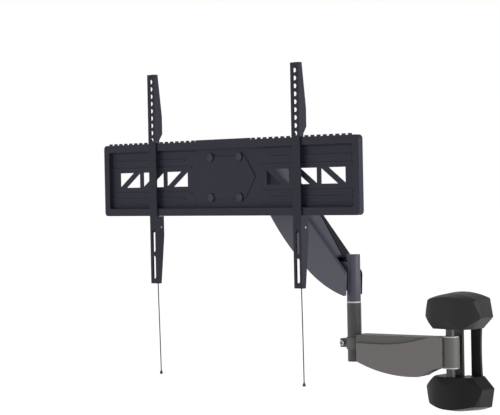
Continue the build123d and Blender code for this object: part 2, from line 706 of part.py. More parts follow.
def head_fork():
    """Two lugs above and below the barrel, joined by a neck that ends in the tilt boss."""
    y = ELBOW[1]
    low, high = head_barrel_z()
    low, high = low - SIDE_PLAY, high + SIDE_PLAY
    body = block((HEAD_X - NECK_HALF, HEAD_X + NECK_HALF), (TILT_Y, y - BARREL_R - 5), (low, high))
    for z in ((low - HEAD_LUG_T, low), (high, high + HEAD_LUG_T)):
        body += rod(BARREL_R, (HEAD_X, y, z[0]), (HEAD_X, y, z[1]))
        body += block((HEAD_X - NECK_HALF, HEAD_X + NECK_HALF), (y - BARREL_R - 14, y), z)
    inner = TILT_EAR_X - SIDE_PLAY
    boss = rod(16.0, (HEAD_X - inner, TILT_Y, PLATE_Z), (HEAD_X + inner, TILT_Y, PLATE_Z))
    far = (TILT_Y - 20, TILT_Y + 18)
    body -= block((HEAD_X - 20, HEAD_X + 20), far, (PLATE_Z + 16, high + 10))
    body -= block((HEAD_X - 20, HEAD_X + 20), far, (low - 10, PLATE_Z - 16))
    body += boss
    span = (HEAD_X - inner, TILT_Y, PLATE_Z), (HEAD_X + inner, TILT_Y, PLATE_Z)
    body -= rod(TILT_R + RUN_FIT, *span)
    return body - rod(HEAD_PIN_R, (HEAD_X, y, low - 10), (HEAD_X, y, high + 10))


def head_pin():
    y = ELBOW[1]
    low, high = head_barrel_z()
    reach = SIDE_PLAY + HEAD_LUG_T
    pin = rod(HEAD_PIN_R - 0.02, (HEAD_X, y, low - reach - 3), (HEAD_X, y, high + reach))
    return pin + rod(8.0, (HEAD_X, y, high + reach), (HEAD_X, y, high + reach + 4))


def tilt_bracket():
    """Square adapter on the plate's back with two ears that hold the tilt bolt."""
    face = LIP_Y + RECESS + SHEET
    back = face + ADAPTER_T
    spread = (HEAD_X - ADAPTER_HALF, HEAD_X + ADAPTER_HALF)
    body = block(spread, (face, back), (PLATE_Z - ADAPTER_HALF, PLATE_Z + ADAPTER_HALF))
    for s in (-1, 1):
        ear_x = sorted((HEAD_X + s * TILT_EAR_X, HEAD_X + s * (TILT_EAR_X + TILT_EAR_T)))
        body += block(ear_x, (back, TILT_Y), (PLATE_Z - 22, PLATE_Z + 22))
        body += rod(14.0, (ear_x[0], TILT_Y, PLATE_Z), (ear_x[1], TILT_Y, PLATE_Z))
    x = TILT_EAR_X + TILT_EAR_T
    body -= rod(TILT_R + HOLE_PLAY, (HEAD_X - x, TILT_Y, PLATE_Z), (HEAD_X + x, TILT_Y, PLATE_Z))
    for x, z in adapter_bolt_places():
        body -= rod(M8_R + HOLE_PLAY, (x, face, z), (x, back, z))
    return body


def adapter_bolt_places():
    half = ADAPTER_BOLTS / 2
    return [(HEAD_X + i * half, PLATE_Z + k * half) for i in (-1, 1) for k in (-1, 1)]


def adapter_bolts():
    """Carriage bolts through plate and adapter."""
    front = LIP_Y + RECESS
    back = front + SHEET + ADAPTER_T
    bolts = []
    for x, z in adapter_bolt_places():
        shank = rod(M8_R, (x, front, z), (x, back + 9, z))
        bolts.append(shank + rod(8.0, (x, front - 3.5, z), (x, front, z)))
    return Compound(bolts)


def adapter_nuts():
    back = LIP_Y + RECESS + SHEET + ADAPTER_T
    nuts = []
    for x, z in adapter_bolt_places():
        nut = upright(Pos(x, z) * RegularPolygon(7.5, 6), back, back + 6.5)
        nuts.append(nut - rod(M8_R + RUN_FIT, (x, back, z), (x, back + 6.5, z)))
    return Compound(nuts)


def tilt_bolt():
    x = TILT_EAR_X + TILT_EAR_T
    left, right = HEAD_X - x, HEAD_X + x
    bolt = rod(TILT_R, (left - 14, TILT_Y, PLATE_Z), (right, TILT_Y, PLATE_Z))
    return bolt + rod(9.0, (right, TILT_Y, PLATE_Z), (right + 6, TILT_Y, PLATE_Z))


def tilt_nut():
    x = HEAD_X - TILT_EAR_X - TILT_EAR_T
    face = Plane(origin=(x, TILT_Y, PLATE_Z), x_dir=(0, 1, 0), z_dir=(-1, 0, 0))
    nut = extrude(face * RegularPolygon(9.5, 6), 9)
    return nut - rod(TILT_R + RUN_FIT, (x, TILT_Y, PLATE_Z), (x - 9, TILT_Y, PLATE_Z))


# ---------------------------------------------------------------- plate
def window_cut(side, start):
    """One window of the plate, less its diagonal bar, as a cutting solid."""
    near, far = side * start, side * (start + WIN_W)
    low, high = sorted((near, far))
    web = (RECESS - 1, RECESS + SHEET + 1)
    cut = block((low, high), web, (WIN_LOW, WIN_TOP))
    bar = make_face(
        Polyline(
            (near, WIN_TOP),
            (near + side * WIN_BAR, WIN_TOP),
            (far, WIN_LOW),
            (far - side * WIN_BAR, WIN_LOW),
            close=True,
        )
    )
    return cut - upright(bar, *web)


def tv_plate():
    """Pressed plate: flat lip, recessed web with windows and ribs, end flanges, toothed top."""
    height = TV_TOP - TV_LOW
    mid = (TV_TOP + TV_LOW) / 2
    form = RectangleRounded(2 * TV_HALF_W, height, CORNER_R)
    body = upright(Pos(0, mid) * form, 0, RECESS + SHEET)
    well = RectangleRounded(2 * (TV_HALF_W - LIP), height - 2 * LIP, 5)
    body -= upright(Pos(0, mid) * well, 0, RECESS)
    rim = LIP - SHEET
    under = RectangleRounded(2 * TV_HALF_W + 2, height + 2, 8)
    under -= RectangleRounded(2 * (TV_HALF_W - rim), height - 2 * rim, 6)
    body -= upright(Pos(0, mid) * under, SHEET, RECESS + SHEET)
    edge = RectangleRounded(2 * TV_HALF_W, height, CORNER_R)
    edge -= RectangleRounded(2 * (TV_HALF_W - SHEET), height - 2 * SHEET, CORNER_R - SHEET)
    returns = upright(Pos(0, mid) * edge, 0, RETURN)
    returns -= block(
        (-TV_HALF_W + RETURN, TV_HALF_W - RETURN), (-1, RETURN + 1), (TV_LOW - 1, TV_TOP + 1)
    )
    body += returns
    for s in (-1, 1):
        for start in WIN_FROM:
            body -= window_cut(s, start)
        for z, start in zip(RIB_Z, RIB_FROM):
            ends = sorted((s * start, s * RIB_TO))
            body += block(ends, (RECESS - RIB_H, RECESS), (z - RIB_W / 2, z + RIB_W / 2))
            body += rod(RIB_W, (s * RIB_TO, RECESS - RIB_H, z), (s * RIB_TO, RECESS, z))
        for n in range(int((TOOTH_TO - TOOTH_FROM) / TOOTH_PITCH) + 1):
            x = s * (TOOTH_FROM + n * TOOTH_PITCH)
            tooth = (x - TOOTH_W / 2, x + TOOTH_W / 2)
            body += block(tooth, (0, SHEET), (TV_TOP - 1, TV_TOP + TOOTH_H))
    smooth = TOOTH_FROM - TOOTH_PITCH / 2
    body += block((-smooth, smooth), (0, SHEET), (TV_TOP - 1, TV_TOP + TOOTH_H))
    w, h = HEX_HALF_W, HEX_HALF_H
    corners = ((-w, 0), (-w + 28, h), (w - 28, h), (w, 0), (w - 28, -h), (-w + 28, -h))
    body += upright(make_face(Polyline(*corners, close=True)), RECESS - HEX_H, RECESS)
    body = AT_PLATE * body
    face = LIP_Y + RECESS
    for x, z in adapter_bolt_places():
        body -= rod(M8_R + HOLE_PLAY, (x, face - HEX_H, z), (x, face + SHEET, z))
        body -= rod(9.0, (x, face - HEX_H - 1, z), (x, face, z))
    return body


# ---------------------------------------------------------------- rails
def rail(side):
    """U-shaped rail with holes above, slots below and hooks over the plate's top edge."""
    front, back = RAIL_FRONT, RAIL_FRONT + RAIL_T
    body = block((-RAIL_HALF_W, RAIL_HALF_W), (front, back), (-RAIL_HALF_H, RAIL_HALF_H))
    end, deep = front + RAIL_END_D, front + RAIL_MID_D
    reach = RAIL_HALF_H
    shallow = -0.5
    clear_top, clear_low = TV_TOP + TOOTH_H + 0.6, TV_LOW - 0.6
    hook = [
        (deep, clear_low),
        (shallow, clear_low),
        (shallow, clear_top),
        (SHEET + 0.7, clear_top),
        (SHEET + 0.7, clear_top - HOOK_DROP),
        (SHEET + 4.7, clear_top - HOOK_DROP),
        (SHEET + 5.2, clear_top + 3),
    ]
    tall = [(front, -reach), (end, -reach), (deep, -118), *hook]
    tall += [(deep, clear_top + 16), (deep, 128), (end, reach), (front, reach)]
    rim = front + RAIL_RIM_D
    low = [(front, -reach), (rim, -reach), (rim, guide_z() - 12), (deep, guide_z() - 6), *hook]
    low += [(rim, clear_top + 6), (rim, reach), (front, reach)]
    for points, x in ((low, -RAIL_HALF_W), (tall, RAIL_HALF_W - RAIL_T)):
        flange = Plane.YZ.offset(x) * make_face(Polyline(*points, close=True))
        body += extrude(flange, RAIL_T)
    for n in range(RAIL_HOLES):
        z = RAIL_HOLE_TOP - n * RAIL_PITCH
        body -= rod(RAIL_HOLE_R, (0, front, z), (0, back, z))
    for low, high in SLOTS:
        slot = Pos(0, (low + high) / 2) * Rot(0, 0, 90) * SlotOverall(high - low, SLOT_W)
        body -= upright(slot, front, back)
    w = RAIL_HALF_W
    body -= rod(GUIDE_R, (-w, CORD_Y + 4, guide_z()), (w, CORD_Y + 4, guide_z()))
    return at_rail(side) * body


def at_rail(side):
    return AT_PLATE * Pos(side * RAIL_X, 0, 0)


def guide_z():
    return LATCH_LOW + 5


def guide_pin(side):
    w, z = RAIL_HALF_W, guide_z()
    return at_rail(side) * rod(GUIDE_R - 0.02, (-w, CORD_Y + 4, z), (w, CORD_Y + 4, z))


def latch(side):
    """Sliding latch in the rail; its tongue catches the plate's lower lip from behind."""
    w = LATCH_HALF_W
    body = block((-w, w), (RAIL_FRONT + RAIL_T + 0.4, 12), (LATCH_LOW, LATCH_TOP))
    body += block((-w, w), (SHEET + 0.7, SHEET + 4.2), (LATCH_TOP, TV_LOW + 9))
    slot_low = guide_z() - GUIDE_R - 0.4
    slot_high = guide_z() + LATCH_TRAVEL + GUIDE_R + 0.4
    y = CORD_Y + 4
    body -= block((-w, w), (y - GUIDE_R - 0.4, y + GUIDE_R + 0.4), (slot_low, slot_high))
    return at_rail(side) * body


def pull_cord(side):
    return at_rail(side) * rod(CORD_R, (0, CORD_Y, CORD_END), (0, CORD_Y, LATCH_LOW))


def cord_knob(side):
    z = CORD_END
    bead = rod(KNOB_R, (0, CORD_Y, z - KNOB_H), (0, CORD_Y, z))
    return at_rail(side) * fillet(bead.edges(), 1.2)


# ---------------------------------------------------------------- write the pieces
UPPER_COVER = upper_cover()

PIECES = {
    "wall_plate": wall_plate(),
    "pivot_bracket": pivot_bracket(),
    "bracket_screws": bracket_screws(),
    "wall_shaft": wall_shaft(),
    "shaft_nut": shaft_nut(),
    "shaft_spacers": shaft_spacers(),
    "upper_wall_cover": UPPER_COVER,
    "lower_wall_cover": mirrored(UPPER_COVER),
    "lower_arm_beam": ON_ARM * lower_arm_beam(),
    "lower_arm_front_cover": ON_ARM * lower_arm_skin(-1),
    "lower_arm_rear_cover": ON_ARM * lower_arm_skin(1),
    "lower_arm_cable_cover": ON_ARM * lower_arm_cable_cover(),
    "knuckle_bushes": ON_ARM * knuckle_bushes(),
    "clamp_screw": ON_ARM * clamp_screw(),
    "clamp_nut": ON_ARM * clamp_nut(),
    "elbow_post": elbow_post(),
    "post_cap": post_cap(),
    "post_ring": post_ring(),
    "elbow_yoke": elbow_yoke(),
    "yoke_bush": yoke_bush(),
    "yoke_pivot_pins": pivot_pins(PIVOT, LOW_PIVOT),
    "spring_anchor_pin": anchor_pin(),
    "upper_link": upper_link(),
    "lower_link": lower_link(),
    "spring_end_pin": spring_pin(),
    "gas_cylinder": gas_cylinder(),
    "gas_rod": gas_rod(),
    "lift_arm_front_shell": lift_shell(-1),
    "lift_arm_rear_shell": lift_shell(1),
    "lift_arm_cable_cover": lift_cable_cover(),
    "head_yoke": head_yoke(),
    "head_pivot_pins": pivot_pins(HEAD_PIVOT, HEAD_LOW_PIVOT),
    "head_bush": head_bush(),
    "head_fork": head_fork(),
    "head_swivel_pin": head_pin(),
    "tilt_bracket": tilt_bracket(),
    "tilt_bolt": tilt_bolt(),
    "tilt_nut": tilt_nut(),
    "adapter_bolts": adapter_bolts(),
    "adapter_nuts": adapter_nuts(),
    "tv_plate": tv_plate(),
}

for name, side in (("left", -1), ("right", 1)):
    PIECES[f"{name}_rail"] = rail(side)
    PIECES[f"{name}_guide_pin"] = guide_pin(side)
    PIECES[f"{name}_latch"] = latch(side)
    PIECES[f"{name}_pull_cord"] = pull_cord(side)
    PIECES[f"{name}_cord_knob"] = cord_knob(side)

for name, shape in PIECES.items():
    export_step(shape, f"parts/{name}.step")
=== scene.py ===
# %% [markdown]
# # A full motion wall mount for a flat screen
# The mount's steel, castings and covers come from CAD as a fixed frame of named bodies.
# This lesson gives each piece the finish it has on the real thing, and adds the parts that
# CAD made plainly or left out because they are soft or small: the two pull cords, their
# knobs and a cover screw.

# %% Load the frame
from math import cos, pi, radians, sin

import bmesh
import bpy
from mathutils import Matrix, Quaternion, Vector


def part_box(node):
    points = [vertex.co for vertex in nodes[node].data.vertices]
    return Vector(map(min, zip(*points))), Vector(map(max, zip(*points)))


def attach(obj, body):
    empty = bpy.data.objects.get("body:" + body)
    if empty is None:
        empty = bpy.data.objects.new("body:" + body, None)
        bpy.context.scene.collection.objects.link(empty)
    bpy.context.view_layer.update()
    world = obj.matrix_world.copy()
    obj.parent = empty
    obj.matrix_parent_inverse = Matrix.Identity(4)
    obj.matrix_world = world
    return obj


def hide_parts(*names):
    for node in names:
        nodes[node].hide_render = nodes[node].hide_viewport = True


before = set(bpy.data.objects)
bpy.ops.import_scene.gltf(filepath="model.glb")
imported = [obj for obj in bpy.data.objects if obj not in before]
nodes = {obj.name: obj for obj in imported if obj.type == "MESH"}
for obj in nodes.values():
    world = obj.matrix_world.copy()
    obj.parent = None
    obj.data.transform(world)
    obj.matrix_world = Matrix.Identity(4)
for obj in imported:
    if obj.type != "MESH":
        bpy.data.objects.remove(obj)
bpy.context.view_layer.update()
scene = bpy.context.scene

# %% [markdown]
# ## Camera
# A product view is taken from far away with a long lens, so that upright edges stay
# upright. The camera stands at about eye height of the mount, 44 degrees round to its
# right, and is rolled by a degree. Heading, pitch and roll are easier to read and to
# change than a rotation matrix.

# %% Camera
MM = 0.001
camera_data = bpy.data.cameras.new("studio_camera")
camera_data.lens = 123.2
camera_data.sensor_width = 36.0
camera = bpy.data.objects.new("studio_camera", camera_data)
scene.collection.objects.link(camera)
heading, pitch, roll = radians(43.87), radians(-0.65), radians(-1.13)
look = Vector((-sin(heading) * cos(pitch), cos(heading) * cos(pitch), sin(pitch)))
camera.location = (1.9562, -2.6174, 0.3168)
camera.rotation_mode = "QUATERNION"
camera.rotation_quaternion = look.to_track_quat("-Z", "Y") @ Quaternion((0, 0, 1), roll)
scene.camera = camera
print("camera looks along", [round(v, 3) for v in look])

# %% [markdown]
# ## Pull cords
# Each rail is freed by a thin braided polyester cord that hangs from its latch with a small
# bell-shaped knob on the end. A real cord that was folded in a box doesn't hang dead
# straight, so each follows a few chosen points that drift by a few millimetres. A NURBS
# curve through control points is smooth by itself. Each point carries the cord's radius,
# over a bevel of one, because the curve's own box is padded by that radius.

# %% Pull cords
CORD_RADIUS = 1.1 * MM
# millimetres below the latch of each point, and how far it has drifted sideways there
DROP = (0.0, 30.0, 95.0, 160.0, 225.0, 291.0)
DRIFT = {"left": (0.0, 0.0, 0.8, 2.2, 4.0, 5.4), "right": (0.0, 0.0, 0.2, 1.0, 1.9, 2.4)}


def cord_points(side):
    """Points from the latch down to the knob, following the side's drift."""
    low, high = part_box(f"{side}_pull_cord")
    x, y = (low.x + high.x) / 2, (low.y + high.y) / 2
    return [(x + dx * MM, y, high.z - dz * MM) for dx, dz in zip(DRIFT[side], DROP)]


def hanging_cord(side):
    """The side's cord as a round NURBS curve, and the points it follows."""
    points = cord_points(side)
    curve = bpy.data.curves.new(f"{side}_cord", "CURVE")
    curve.dimensions = "3D"
    curve.bevel_depth = 1.0
    curve.bevel_resolution = 5
    curve.resolution_u = 16
    curve.use_fill_caps = True
    spline = curve.splines.new("NURBS")
    spline.points.add(len(points) - 1)
    for control, point in zip(spline.points, points):
        control.co = (*point, 1.0)
        control.radius = CORD_RADIUS
    spline.order_u = 3
    spline.use_endpoint_u = True
    piece = bpy.data.objects.new(f"{side}_cord", curve)
    scene.collection.objects.link(piece)
    return piece, points


cords = {side: hanging_cord(side) for side in ("left", "right")}
print("cords start at", [tuple(round(v, 3) for v in points[0]) for _, points in cords.values()])

# %% [markdown]
# ## Turned pieces
# A knob is round, so its shape is one half profile spun about an axis. The helper takes
# (radius, height) pairs, makes a closed form and hands back a smooth mesh.

# %% Turning a profile
ROUND_STEPS = 40
ON_AXIS = 1e-6    # a radius under this is a single point


def new_piece(name, mesh, smooth=True):
    """An object for the mesh, in the scene, with smooth or flat faces."""
    piece = bpy.data.objects.new(name, mesh)
    scene.collection.objects.link(piece)
    if smooth:
        for polygon in mesh.polygons:
            polygon.use_smooth = True
    return piece


def turned(name, profile, place):
    """Spin a (radius, height) profile in metres about z, then put it in place."""
    shape = bmesh.new()
    rings = []
    for radius, height in profile:
        if radius < ON_AXIS:
            rings.append([shape.verts.new((0, 0, height))])
            continue
        turns = [2 * pi * k / ROUND_STEPS for k in range(ROUND_STEPS)]
        rings.append([shape.verts.new((radius * cos(t), radius * sin(t), height)) for t in turns])
    for lower, upper in zip(rings, rings[1:]):
        for k in range(ROUND_STEPS):
            n = (k + 1) % ROUND_STEPS
            if len(lower) == 1:
                shape.faces.new((lower[0], upper[n], upper[k]))
            elif len(upper) == 1:
                shape.faces.new((lower[k], lower[n], upper[0]))
            else:
                shape.faces.new((lower[k], lower[n], upper[n], upper[k]))
    bmesh.ops.recalc_face_normals(shape, faces=shape.faces)
    mesh = bpy.data.meshes.new(name)
    shape.to_mesh(mesh)
    shape.free()
    mesh.transform(place)
    return new_piece(name, mesh)


print("a turned piece has", ROUND_STEPS, "steps round")

# %% [markdown]
# ## Cord knobs
# Each cord ends in a small moulded bell that a finger and thumb can grip. Its profile is
# wide at the foot and narrow at the neck, where the cord goes in. Cord and knob replace the
# plain ones from CAD and ride the same latch.

# %% Cord knobs
# (radius, height) in millimetres, from the foot up
KNOB = (
    (0.0, 0.0), (2.0, 0.0), (2.9, 0.4), (3.2, 1.2), (3.1, 2.4), (2.6, 4.2),
    (1.9, 5.8), (1.7, 6.4), (1.75, 6.8), (1.5, 7.1), (1.12, 7.2), (0.0, 7.2),
)
KNOB_HANG = 7.0 * MM    # the knob's foot hangs this far below the cord's end
knobs = {}
for side, (cord, points) in cords.items():
    tip = Vector(points[-1]) - Vector((0, 0, KNOB_HANG))
    profile = [(r * MM, h * MM) for r, h in KNOB]
    knobs[side] = turned(f"{side}_knob", profile, Matrix.Translation(tip))
    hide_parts(f"{side}_pull_cord")
    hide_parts(f"{side}_cord_knob")
    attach(cord, f"{side}_release")
    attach(knobs[side], f"{side}_release")
print("knobs:", sorted(k.name for k in knobs.values()))

# %% [markdown]
# ## Cover screw
# One pan-head screw holds the lift arm's front shell, and its cross recess is cut for
# real. Ring and cross have matching corners: a cross has twelve, so each takes three of
# the ring's thirty-six steps. The head lies on the arm's side, so it is placed along and
# across the arm, from the elbow's pins.

# %% The screw's shape
SCREW_R, SCREW_H, RECESS = 3.4 * MM, 1.3 * MM, 0.9 * MM
SHOULDER, CROWN = 0.6, 0.8    # the head rounds over from this height to this radius
CROSS_HALF, CROSS_REACH = 0.45 * MM, 1.9 * MM
CROSS_TAPER = 0.7             # the recess narrows to this share at its floor
RING_STEPS, CROSS_CORNERS = 36, 12
STEPS_PER_CORNER = RING_STEPS // CROSS_CORNERS


def pan_head(name, place):
    """A pan-head screw with a cross recess, standing on its flat side."""
    shape = bmesh.new()
    steps = [2 * pi * k / RING_STEPS - pi / CROSS_CORNERS for k in range(RING_STEPS)]
    outline = ((SCREW_R, 0), (SCREW_R, SHOULDER * SCREW_H), (CROWN * SCREW_R, SCREW_H))
    rings = [[shape.verts.new((r * cos(t), r * sin(t), h)) for t in steps] for r, h in outline]
    quarter = [(CROSS_REACH, -CROSS_HALF), (CROSS_REACH, CROSS_HALF), (CROSS_HALF, CROSS_HALF)]
    quarter_turns = [(1, 0), (0, 1), (-1, 0), (0, -1)]
    corners = [(c * x - s * y, s * x + c * y) for c, s in quarter_turns for x, y in quarter]
    mouth = [shape.verts.new((x, y, SCREW_H)) for x, y in corners]
    pit = [shape.verts.new((CROSS_TAPER * x, CROSS_TAPER * y, SCREW_H - RECESS))
           for x, y in corners]
    for lower, upper in ((rings[0], rings[1]), (rings[1], rings[2]), (mouth, pit)):
        for k in range(len(lower)):
            n = (k + 1) % len(lower)
            shape.faces.new((lower[k], lower[n], upper[n], upper[k]))
    for k in range(CROSS_CORNERS):
        first = STEPS_PER_CORNER * k
        arc = [rings[2][(first + i) % RING_STEPS] for i in range(STEPS_PER_CORNER + 1)]
        shape.faces.new((mouth[k], *arc, mouth[(k + 1) % CROSS_CORNERS]))
    shape.faces.new(rings[0])
    shape.faces.new(pit)
    bmesh.ops.recalc_face_normals(shape, faces=shape.faces)
    mesh = bpy.data.meshes.new(name)
    shape.to_mesh(mesh)
    shape.free()
    mesh.transform(place)
    return new_piece(name, mesh, smooth=False)


print("screw head", SCREW_R / MM, "mm in radius and", SCREW_H / MM, "mm high")

# %% The screw on its shell
ARM_RISE = radians(48.5)      # of the lift arm at rest
PIN_R = 4 * MM                # of the elbow's pins
SCREW_ALONG, SCREW_ACROSS = 116 * MM, -2.7 * MM
SCREW_TURN = radians(20)      # a driven screw stops at any angle
pins_low, pins_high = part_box("yoke_pivot_pins")
pin_x, pin_z = (pins_low.x + pins_high.x) / 2, pins_high.z - PIN_R
screw_place = Vector((
    pin_x - SCREW_ALONG * cos(ARM_RISE) + SCREW_ACROSS * sin(ARM_RISE),
    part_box("lift_arm_front_shell")[0].y,
    pin_z + SCREW_ALONG * sin(ARM_RISE) + SCREW_ACROSS * cos(ARM_RISE),
))
facing_out = Matrix.Rotation(radians(90), 4, "X") @ Matrix.Rotation(SCREW_TURN, 4, "Z")
cover_screw = pan_head("shell_screw", Matrix.Translation(screw_place) @ facing_out)
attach(cover_screw, "lift_arm")
print("cover screw at", [round(v, 3) for v in screw_place])

# %% [markdown]
# ## A helper for materials
# Every finish is a small graph of shader nodes. One function adds a node, sets its
# properties and either fills or links its inputs. Another turns an sRGB hex colour, as a
# paint chart gives it, into the linear values that the renderer works in.

# %% Material helpers
def linear(hex_colour):
    """An sRGB hex colour as linear RGBA."""
    values = [int(hex_colour[i:i + 2], 16) / 255 for i in (1, 3, 5)]
    return (*[v / 12.92 if v <= 0.04045 else ((v + 0.055) / 1.055) ** 2.4 for v in values], 1.0)


def add(tree, kind, inputs=None, **settings):
    """Add a node; inputs are values, or sockets to link from."""
    made = tree.nodes.new(kind)
    for name, value in settings.items():
        setattr(made, name, value)
    for name, value in (inputs or {}).items():
        if isinstance(value, bpy.types.NodeSocket):
            tree.links.new(value, made.inputs[name])
        else:
            made.inputs[name].default_value = value
    return made


def new_material(name):
    """An empty material, its tree, its principled shader and the object coordinates."""
    material = bpy.data.materials.new(name)
    material.use_nodes = True
    tree = material.node_tree
    tree.nodes.clear()
    shader = add(tree, "ShaderNodeBsdfPrincipled")
    add(tree, "ShaderNodeOutputMaterial", {"Surface": shader.outputs["BSDF"]})
    place = add(tree, "ShaderNodeTexCoord").outputs["Object"]
    return material, tree, shader, place


def mix_colours(tree, factor, first, second):
    """A colour between two, each a colour or a socket."""
    mixed = tree.nodes.new("ShaderNodeMix")
    mixed.data_type = "RGBA"
    tree.links.new(factor, mixed.inputs["Factor"])
    for socket, value in ((mixed.inputs[6], first), (mixed.inputs[7], second)):
        if isinstance(value, bpy.types.NodeSocket):
            tree.links.new(value, socket)
        else:
            socket.default_value = value
    return mixed.outputs[2]


def per_metre(millimetres):
    """The texture scale whose pattern repeats about every so many millimetres."""
    return 1.0 / (millimetres * MM)


def shaded(colour, share):
    """The colour, made darker or lighter by a share of itself."""
    return tuple(v * share for v in colour[:3]) + (1.0,)


print("mid grey is", round(linear("#808080")[0], 3), "in linear light")


# %% [markdown]
# ## Powder coat on steel
# The plate, rails, brackets and post are pressed or welded steel with baked polyester
# powder. The powder melts into a skin with a faint orange-peel ripple, about 1 mm from
# crest to crest, that blurs reflections without hiding them. At this distance a 1 mm
# ripple can't be seen, so a second, 4 mm one is added for the eye. Edges are rounded by
# the coating and rub a little paler, which the bevel node finds by comparing its rounded
# normal with the true one.

# %% Powder coat
PEEL_MM, PEEL_DEPTH = 1.0, 0.1 * MM
PEEL_SEEN_MM, PEEL_SEEN_DEPTH = 4.0, 0.3 * MM
COAT_MOTTLE_MM = 60             # slow changes of tone across a sprayed face
EDGE_STARTS, EDGE_FULL = 0.995, 0.86    # cosine of rounded against true normal
EDGE_WEAR = 0.55                # how far a rubbed edge goes to the paler colour
POLYESTER_IOR = 1.5


def powder_coat(name, colour, rubbed, roughness, cloud=0.10, edge_mm=0.7, ripple=0.12,
                shine=0.5):
    """Rippled paint of one colour, rubbed paler on its edges."""
    material, tree, shader, place = new_material(name)
    mottling = add(tree, "ShaderNodeTexNoise",
                   {"Vector": place, "Scale": per_metre(COAT_MOTTLE_MM), "Detail": 4.0,
                    "Roughness": 0.6})
    peel = add(tree, "ShaderNodeTexNoise", {"Vector": place, "Scale": per_metre(PEEL_MM)})
    wave = add(tree, "ShaderNodeTexNoise",
               {"Vector": place, "Scale": per_metre(PEEL_SEEN_MM), "Detail": 3.0})
    soft = add(tree, "ShaderNodeBevel", {"Radius": edge_mm * MM}, samples=4)
    flat = add(tree, "ShaderNodeNewGeometry").outputs["Normal"]
    match = add(tree, "ShaderNodeVectorMath", {0: soft.outputs["Normal"], 1: flat},
                operation="DOT_PRODUCT")
    edge = add(tree, "ShaderNodeMapRange",
               {"Value": match.outputs["Value"], "From Min": EDGE_STARTS,
                "From Max": EDGE_FULL, "To Min": 0.0, "To Max": EDGE_WEAR})
    scuffed = add(tree, "ShaderNodeMath",
                  {0: edge.outputs["Result"], 1: mottling.outputs["Fac"]}, operation="MULTIPLY")
    base = linear(colour)
    body = mix_colours(tree, mottling.outputs["Fac"], shaded(base, 1 - cloud),
                       shaded(base, 1 + cloud))
    worn = mix_colours(tree, scuffed.outputs["Value"], body, linear(rubbed))
    tree.links.new(worn, shader.inputs["Base Color"])
    fine = add(tree, "ShaderNodeBump",
               {"Height": peel.outputs["Fac"], "Strength": 0.10, "Distance": PEEL_DEPTH,
                "Normal": soft.outputs["Normal"]})
    seen = add(tree, "ShaderNodeBump",
               {"Height": wave.outputs["Fac"], "Strength": ripple, "Distance": PEEL_SEEN_DEPTH,
                "Normal": fine.outputs["Normal"]})
    tree.links.new(seen.outputs["Normal"], shader.inputs["Normal"])
    gloss = add(tree, "ShaderNodeMapRange",
                {"Value": mottling.outputs["Fac"], "To Min": roughness - 0.05,
                 "To Max": roughness + 0.07})
    tree.links.new(gloss.outputs["Result"], shader.inputs["Roughness"])
    shader.inputs["IOR"].default_value = POLYESTER_IOR
    shader.inputs["Specular IOR Level"].default_value = shine
    return material


plate_coat = powder_coat("slate_powder_coat", "#272734", "#55556a", 0.50, shine=0.2)
rail_coat = powder_coat("rail_powder_coat", "#22222e", "#50505f", 0.46, shine=0.2)
yoke_coat = powder_coat("yoke_powder_coat", "#434350", "#6c6c7a", 0.46, shine=0.3)
post_coat = powder_coat("post_powder_coat", "#3c3c3e", "#6c6c6c", 0.30, edge_mm=0.5, shine=0.4)
bracket_coat = powder_coat("bracket_powder_coat", "#161617", "#3c3c3e", 0.42, shine=0.3)
casting_coat = powder_coat("casting_powder_coat", "#6a6666", "#8c8886", 0.50, cloud=0.05,
                           shine=0.3)
# The lower arm's beam has the same warm grey paint as its covers; its darker colour here is painted
# shade.
shaded_channel_coat = powder_coat("shade_darkened_channel_powder_coat", "#575754", "#84847e", 0.50, cloud=0.05,
                           shine=0.3)
black_oxide = powder_coat("black_oxide", "#1b1b22", "#3a3a42", 0.38, shine=0.4, edge_mm=0.4)
print("powder coats:", [m.name for m in bpy.data.materials])

# %% [markdown]
# ## Moulded ABS
# The covers and the lift arm's shells are injection-moulded ABS. The mould is spark
# eroded, which leaves a fine matt grain of about 0.4 mm pits; it is drawn at 1.6 mm so
# that it shows. Voronoi cells look more like eroded pits than noise does. Plastic keeps
# an IOR near 1.54 and is slightly uneven in gloss where hands have touched it. The wall
# covers and the arm's rear shell are duller than the rest, so their shine is turned down.

# %% Moulded plastics
SPARK_SEEN_MM, SPARK_DEPTH = 1.6, 0.12 * MM
HANDLED_MM = 90       # size of the patches that hands have polished
HANDLED_TINT = 0.07   # how much darker or lighter a patch is
ABS_IOR = 1.54


def moulded(name, colour, roughness, strength=0.18, edge_mm=0.8, shine=0.5):
    """Grained plastic of one colour; strength is how deep its grain looks."""
    material, tree, shader, place = new_material(name)
    handled = add(tree, "ShaderNodeTexNoise",
                  {"Vector": place, "Scale": per_metre(HANDLED_MM), "Detail": 5.0,
                   "Roughness": 0.55})
    pits = add(tree, "ShaderNodeTexVoronoi", {"Vector": place, "Scale": per_metre(SPARK_SEEN_MM)})
    base = linear(colour)
    tint = mix_colours(tree, handled.outputs["Fac"], shaded(base, 1 - HANDLED_TINT),
                       shaded(base, 1 + HANDLED_TINT))
    tree.links.new(tint, shader.inputs["Base Color"])
    gloss = add(tree, "ShaderNodeMapRange",
                {"Value": handled.outputs["Fac"], "To Min": roughness - 0.06,
                 "To Max": roughness + 0.06})
    tree.links.new(gloss.outputs["Result"], shader.inputs["Roughness"])
    soft = add(tree, "ShaderNodeBevel", {"Radius": edge_mm * MM}, samples=4)
    grain = add(tree, "ShaderNodeBump",
                {"Height": pits.outputs["Distance"], "Strength": strength,
                 "Distance": SPARK_DEPTH, "Normal": soft.outputs["Normal"]})
    tree.links.new(grain.outputs["Normal"], shader.inputs["Normal"])
    shader.inputs["IOR"].default_value = ABS_IOR
    shader.inputs["Specular IOR Level"].default_value = shine
    return material


